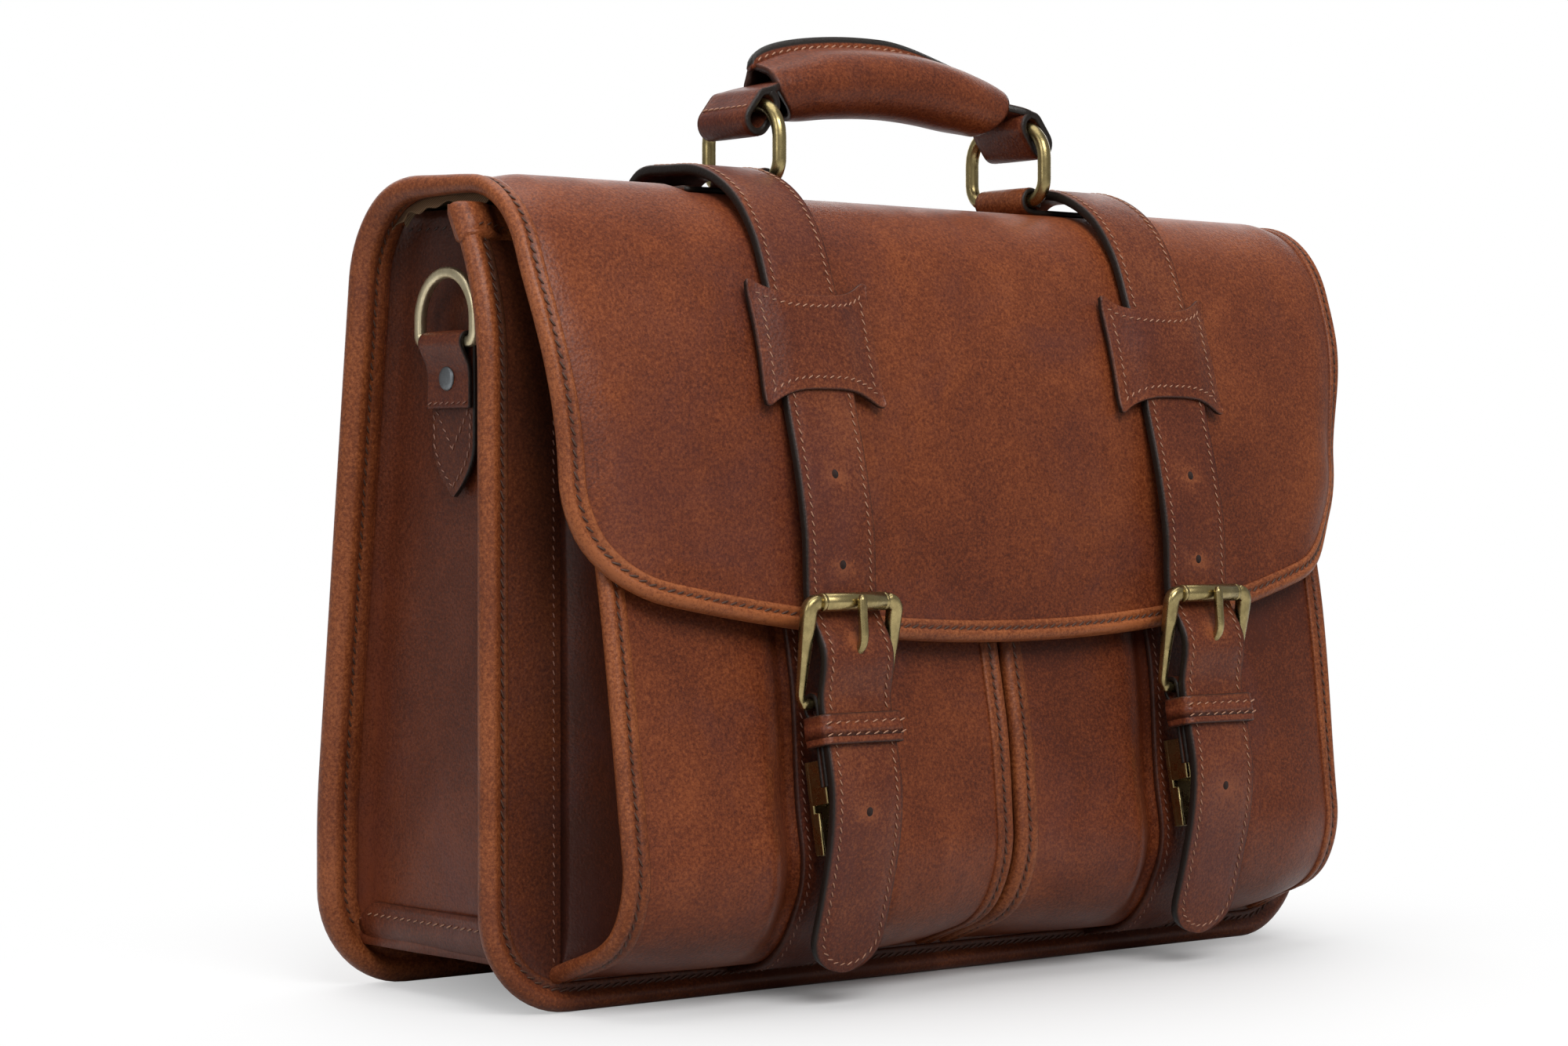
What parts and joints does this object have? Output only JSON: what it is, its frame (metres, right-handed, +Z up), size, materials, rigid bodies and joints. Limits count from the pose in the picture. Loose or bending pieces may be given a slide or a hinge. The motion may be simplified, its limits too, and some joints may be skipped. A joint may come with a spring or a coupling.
{
  "type": "leather briefcase",
  "caption": "Brown leather flap-over briefcase with buckled straps over front pockets, rolled edge bindings, a padded handle on brass rings and a ring at each side.",
  "frame": {"origin": "centre of the part's box on the floor plane", "axes": "+X to the right seen from the front, the front faces -Y, +Z up"},
  "size_m": [0.43, 0.1788, 0.3682],
  "materials": {
    "leather_brown": "smooth waxed reddish brown leather, glossy",
    "leather_dark": "darker brown leather of the gussets and base",
    "leather_tan": "lighter tan rolled edge binding",
    "leather_strap": "thick strap leather with dark stained edges",
    "lining_cloth": "beige grey twill lining",
    "board": "plain stiffening board",
    "antique_brass": "brushed antique brass",
    "dark_steel": "dark nickelled rivet"
  },
  "bodies": {
    "case": {"back_panel": "leather_brown", "back_binding": "leather_tan", "front_panel": "leather_brown", "front_binding": "leather_tan", "front_hem": "leather_brown", "gusset_left": "leather_dark", "gusset_right": "leather_dark", "base_panel": "leather_dark", "base_board": "board", "lining": "lining_cloth", "top_welt": "leather_tan", "pocket_panel_left": "leather_brown", "pocket_panel_right": "leather_brown", "pocket_walls_left": "leather_dark", "pocket_walls_right": "leather_dark", "pocket_binding_left": "leather_tan", "pocket_binding_right": "leather_tan", "pocket_strap_left": "leather_strap", "pocket_strap_right": "leather_strap", "clasp_plate_left": "antique_brass", "clasp_plate_right": "antique_brass", "side_tab_left": "leather_strap", "side_tab_right": "leather_strap", "side_rivet_left": "dark_steel", "side_rivet_right": "dark_steel"},
    "flap": {"flap_panel": "leather_brown", "flap_binding": "leather_tan", "flap_lining": "lining_cloth", "strap_left": "leather_strap", "strap_right": "leather_strap", "patch_left": "leather_strap", "patch_right": "leather_strap", "chape_left": "leather_strap", "chape_right": "leather_strap", "keeper_left": "leather_strap", "keeper_right": "leather_strap", "buckle_left": "antique_brass", "buckle_right": "antique_brass", "clasp_tongue_left": "antique_brass", "clasp_tongue_right": "antique_brass", "ring_anchor_left": "leather_brown", "ring_anchor_right": "leather_brown"},
    "roller_left": {"roller_left": "antique_brass"},
    "roller_right": {"roller_right": "antique_brass"},
    "prong_left": {"prong_left": "antique_brass"},
    "prong_right": {"prong_right": "antique_brass"},
    "ring_left": {"handle_ring_left": "antique_brass"},
    "ring_right": {"handle_ring_right": "antique_brass"},
    "handle": {"handle_strap": "leather_strap", "handle_grip": "leather_brown"},
    "side_ring_left": {"side_ring_left": "antique_brass"},
    "side_ring_right": {"side_ring_right": "antique_brass"}
  },
  "joints": [
    {"name": "flap_hinge", "type": "hinge", "parent": "case", "child": "flap", "pos_m": [0, 0.04204, 0.29929], "axis": [-1, 0, 0], "range_deg": [0, 120]},
    {"name": "roller_turn_left", "type": "hinge", "parent": "flap", "child": "roller_left", "pos_m": [-0.0925, -0.07995, 0.14715], "axis": [1, 0, 0], "continuous": true},
    {"name": "roller_turn_right", "type": "hinge", "parent": "flap", "child": "roller_right", "pos_m": [0.0925, -0.07995, 0.14715], "axis": [1, 0, 0], "continuous": true},
    {"name": "prong_hinge_left", "type": "hinge", "parent": "flap", "child": "prong_left", "pos_m": [-0.0925, -0.07408, 0.11011], "axis": [1, 0, 0], "range_deg": [0, 4.5]},
    {"name": "prong_hinge_right", "type": "hinge", "parent": "flap", "child": "prong_right", "pos_m": [0.0925, -0.07408, 0.11011], "axis": [1, 0, 0], "range_deg": [0, 4.5]},
    {"name": "ring_hinge_left", "type": "hinge", "parent": "flap", "child": "ring_left", "pos_m": [-0.0695, 0.01104, 0.30501], "axis": [0, 1, 0], "range_deg": [-22, 22]},
    {"name": "ring_hinge_right", "type": "hinge", "parent": "flap", "child": "ring_right", "pos_m": [0.0695, 0.01104, 0.30501], "axis": [0, 1, 0], "range_deg": [-22, 22]},
    {"name": "handle_hinge", "type": "hinge", "parent": "ring_left", "child": "handle", "pos_m": [-0.0695, 0.01104, 0.33501], "axis": [0, 1, 0], "range_deg": [-22, 22]},
    {"name": "side_ring_hinge_left", "type": "hinge", "parent": "case", "child": "side_ring_left", "pos_m": [-0.20156, 0.01889, 0.241], "axis": [0, -1, 0], "range_deg": [0, 150]},
    {"name": "side_ring_hinge_right", "type": "hinge", "parent": "case", "child": "side_ring_right", "pos_m": [0.20156, 0.01889, 0.241], "axis": [0, 1, 0], "range_deg": [0, 150]}
  ],
  "couplings": [
    {"joint": "ring_hinge_right", "follows": "ring_hinge_left", "ratio": 1},
    {"joint": "handle_hinge", "follows": "ring_hinge_left", "ratio": -1}
  ]
}
